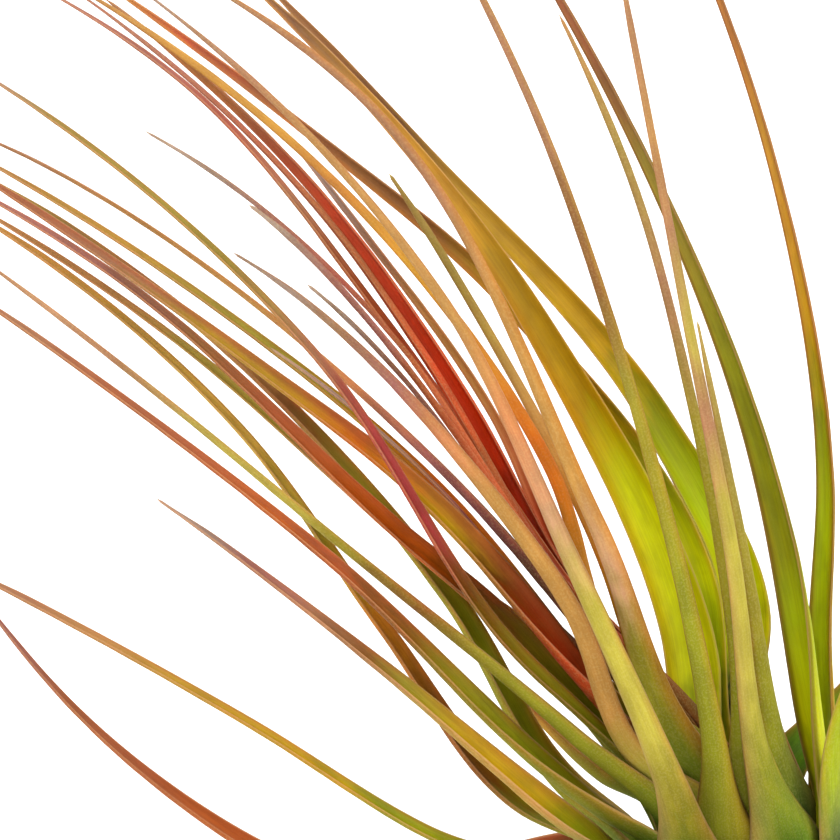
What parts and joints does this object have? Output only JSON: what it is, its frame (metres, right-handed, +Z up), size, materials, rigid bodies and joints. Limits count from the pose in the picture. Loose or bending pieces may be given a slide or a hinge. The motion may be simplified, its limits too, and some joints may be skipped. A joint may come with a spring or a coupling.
{
  "type": "air plant",
  "caption": "Rootless air plant: a dense leaning bulb of overlapping leaf sheaths, whose long channelled leaves sweep to one side and taper to threads in green, gold and rust red.",
  "frame": {"origin": "middle of the flat spot under the stem, on the surface that the plant rests on", "axes": "+Z up, square to the resting surface; -X is the way the leaves sweep, and -Y is the side the picture shows"},
  "size_m": [0.2484, 0.1925, 0.2092],
  "materials": {
    "leaf_pale": "leathery, with a fine pale bloom",
    "leaf_olive": "leathery, with a fine pale bloom",
    "leaf_gold": "leathery, with a fine pale bloom",
    "leaf_rust": "leathery, with a fine pale bloom",
    "leaf_coral": "leathery, with a fine pale bloom",
    "leaf_mauve": "leathery, with a fine pale bloom",
    "stem": "dry, fibrous"
  },
  "bodies": {
    "root": {"stem": "stem", "leaf_front_right": "leaf_pale", "leaf_front_right_inner": "leaf_pale", "leaf_front_thread": "leaf_pale", "leaf_front_crossing": "leaf_rust", "leaf_front_left": "leaf_pale", "leaf_front_tan": "leaf_pale", "leaf_front_olive": "leaf_olive", "leaf_front_orange": "leaf_gold", "leaf_right_tall": "leaf_gold", "leaf_right_green": "leaf_olive", "leaf_back_brown": "leaf_rust", "leaf_back_red": "leaf_rust", "leaf_back_yellow": "leaf_olive", "leaf_core_salmon": "leaf_coral", "leaf_core_rust": "leaf_rust", "leaf_core_red": "leaf_rust", "leaf_core_coral": "leaf_coral", "leaf_young_mauve": "leaf_mauve", "leaf_young_coral": "leaf_coral", "leaf_young_maroon": "leaf_mauve", "leaf_young_grey": "leaf_pale", "leaf_left_taupe": "leaf_pale", "leaf_left_crimson": "leaf_rust", "leaf_left_tan": "leaf_gold", "leaf_left_gold": "leaf_gold", "leaf_left_broad": "leaf_gold", "leaf_left_olive": "leaf_olive", "leaf_left_rust": "leaf_rust", "leaf_left_pale": "leaf_pale", "leaf_left_straw": "leaf_gold", "leaf_left_pink": "leaf_coral", "leaf_left_orange": "leaf_rust", "leaf_low_front": "leaf_pale", "leaf_low_gold": "leaf_gold", "leaf_low_rust": "leaf_rust", "leaf_right_edge": "leaf_olive", "leaf_outer_right": "leaf_olive", "leaf_outer_front_right": "leaf_gold", "leaf_outer_front": "leaf_gold", "leaf_front_spread": "leaf_olive", "leaf_front_left_spread": "leaf_gold", "leaf_outer_front_left": "leaf_rust", "leaf_outer_back": "leaf_olive", "leaf_outer_back_right": "leaf_gold", "leaf_back_right": "leaf_olive", "leaf_back_spread": "leaf_olive", "leaf_back_tall": "leaf_gold", "leaf_back_left": "leaf_olive"}
  },
  "joints": []
}
